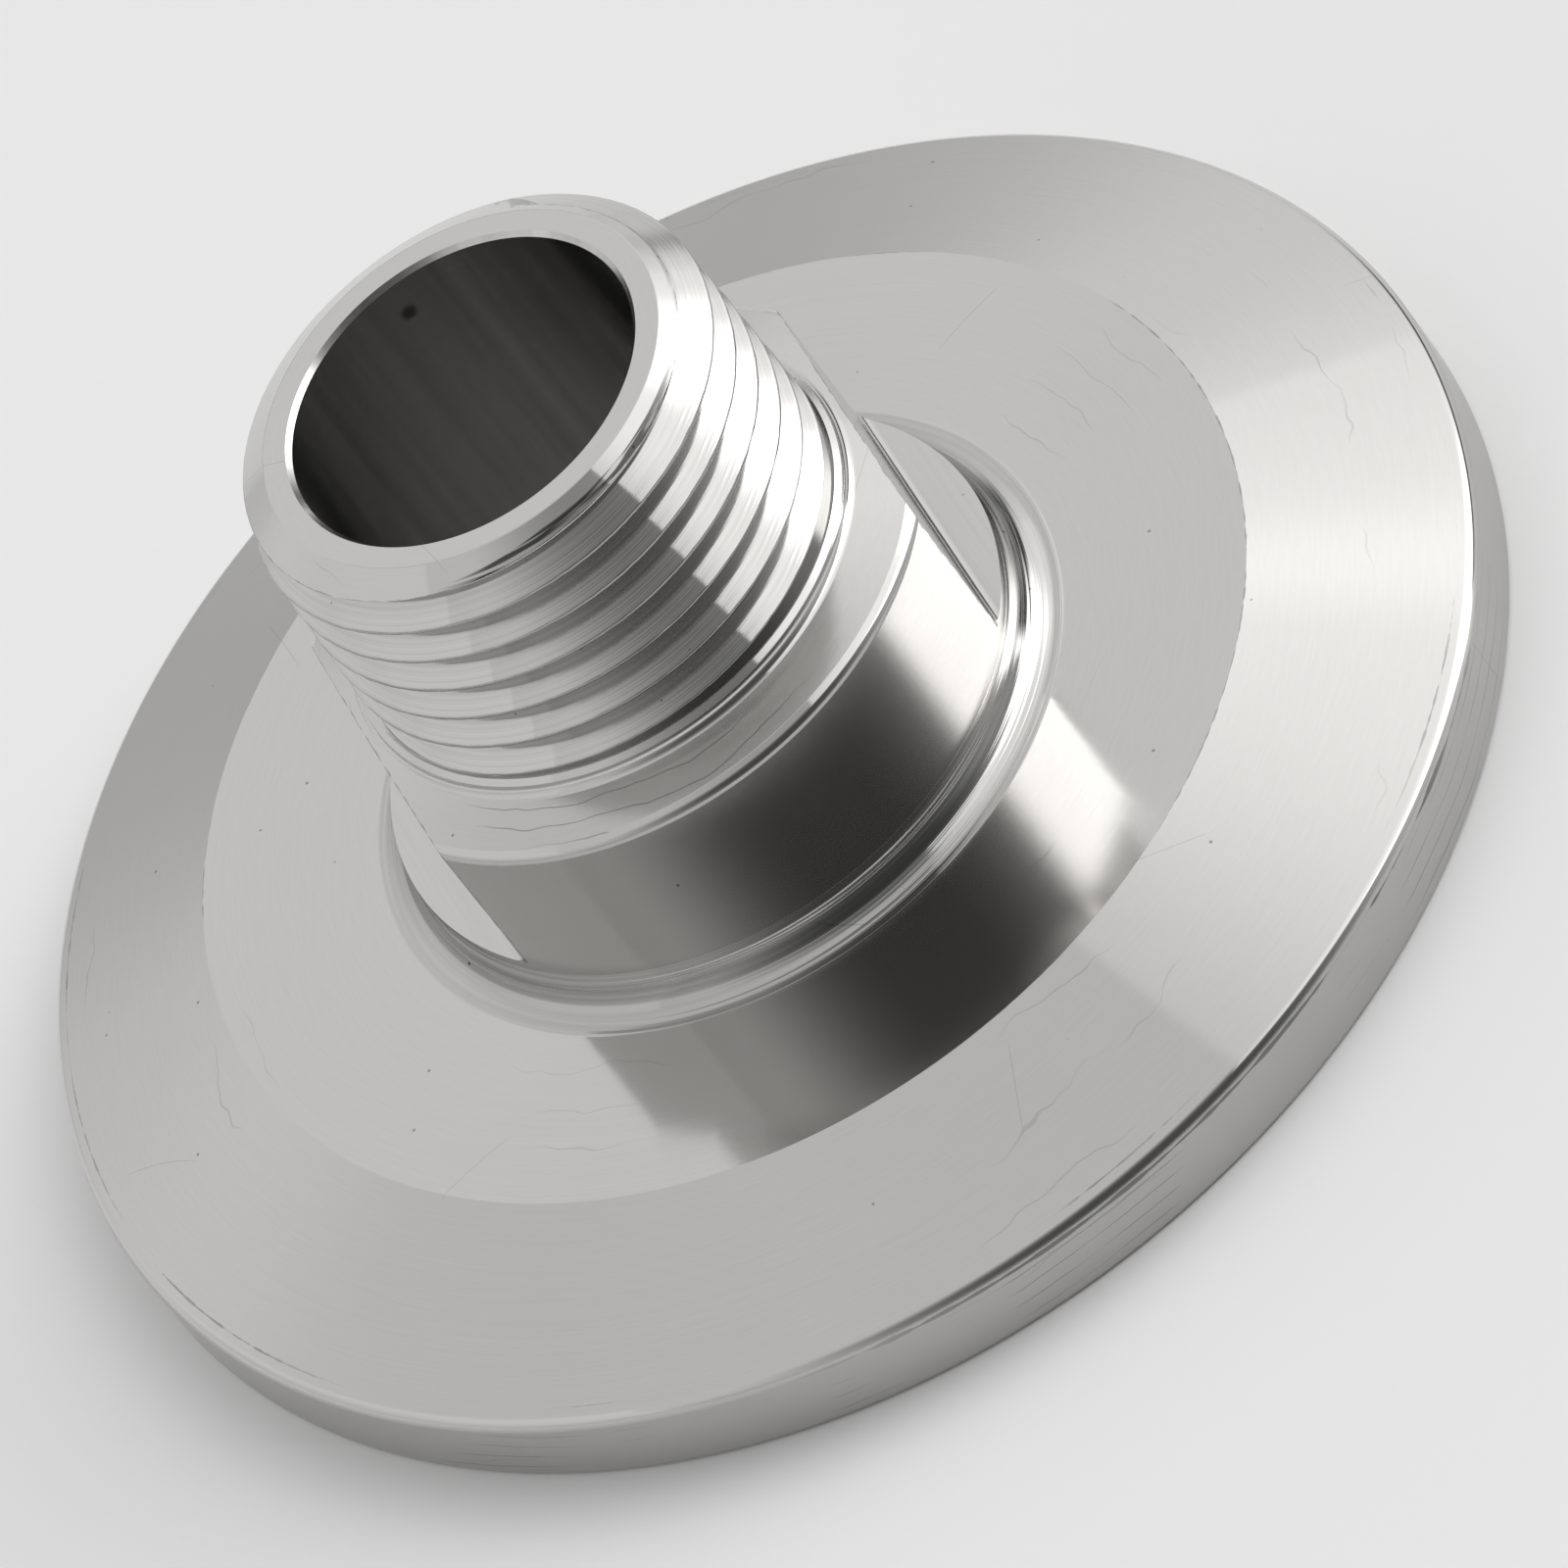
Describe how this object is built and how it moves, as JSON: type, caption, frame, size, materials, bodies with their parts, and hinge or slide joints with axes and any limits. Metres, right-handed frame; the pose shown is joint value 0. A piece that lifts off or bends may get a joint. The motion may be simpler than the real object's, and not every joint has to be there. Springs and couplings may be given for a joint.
{
  "type": "sanitary clamp threaded adapter",
  "caption": "Turned stainless pipe adapter: a flat clamp flange with a gasket groove on one end, wrench flats, and a tapered male pipe thread round a through bore.",
  "frame": {"origin": "centre of the sealing face, which is the underside", "axes": "+Z along the bore towards the thread's tip; the two wrench flats face +X and -X"},
  "size_m": [0.064, 0.064, 0.0289],
  "materials": {
    "steel": "turned stainless steel, satin to bright"
  },
  "bodies": {
    "root": {"threaded_adapter": "steel"}
  },
  "joints": []
}
